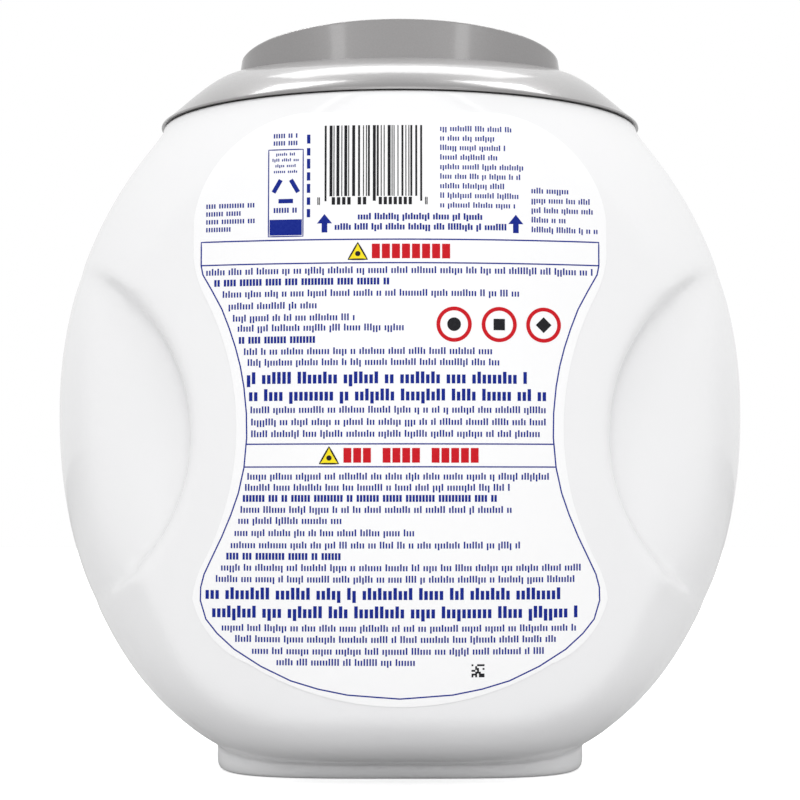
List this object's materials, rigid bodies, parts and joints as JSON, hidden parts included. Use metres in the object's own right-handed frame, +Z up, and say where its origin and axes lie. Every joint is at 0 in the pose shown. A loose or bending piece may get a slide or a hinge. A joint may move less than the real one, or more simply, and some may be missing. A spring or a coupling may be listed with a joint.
{
  "type": "laundry pod tub",
  "caption": "Rounded hollow plastic tub with a grip hollow at each side, film labels in front and behind, a short neck and a twist-off domed lid with an oval handle",
  "frame": {"origin": "on the surface the tub stands on, under the middle of the foot ring", "axes": "+Z up along the neck's axis, +X to the right and -Y towards the viewer who faces the directions label"},
  "size_m": [0.1978, 0.145, 0.2146],
  "materials": {
    "tub_plastic": "smooth white moulded plastic with a soft gloss",
    "label_film": "white printed film, satin",
    "lid_plastic": "silver grey moulded plastic, satin gloss",
    "cap_plastic": "plain white moulded plastic",
    "seal_foam": "thin off-white foam sheet"
  },
  "bodies": {
    "tub": {"tub_body": "tub_plastic", "back_label": "label_film", "front_label": "label_film"},
    "seal": {"seal_disc": "seal_foam"},
    "lid": {"lid_shell": "lid_plastic", "closure_cap": "cap_plastic"}
  },
  "joints": [
    {"name": "lid_lift", "type": "slide", "parent": "tub", "child": "seal", "axis": [0, 0, 1], "range_m": [0, 0.12]},
    {"name": "lid_turn", "type": "hinge", "parent": "seal", "child": "lid", "pos_m": [0, 0, 0.19], "axis": [0, 0, 1], "range_deg": [0, 60]}
  ]
}
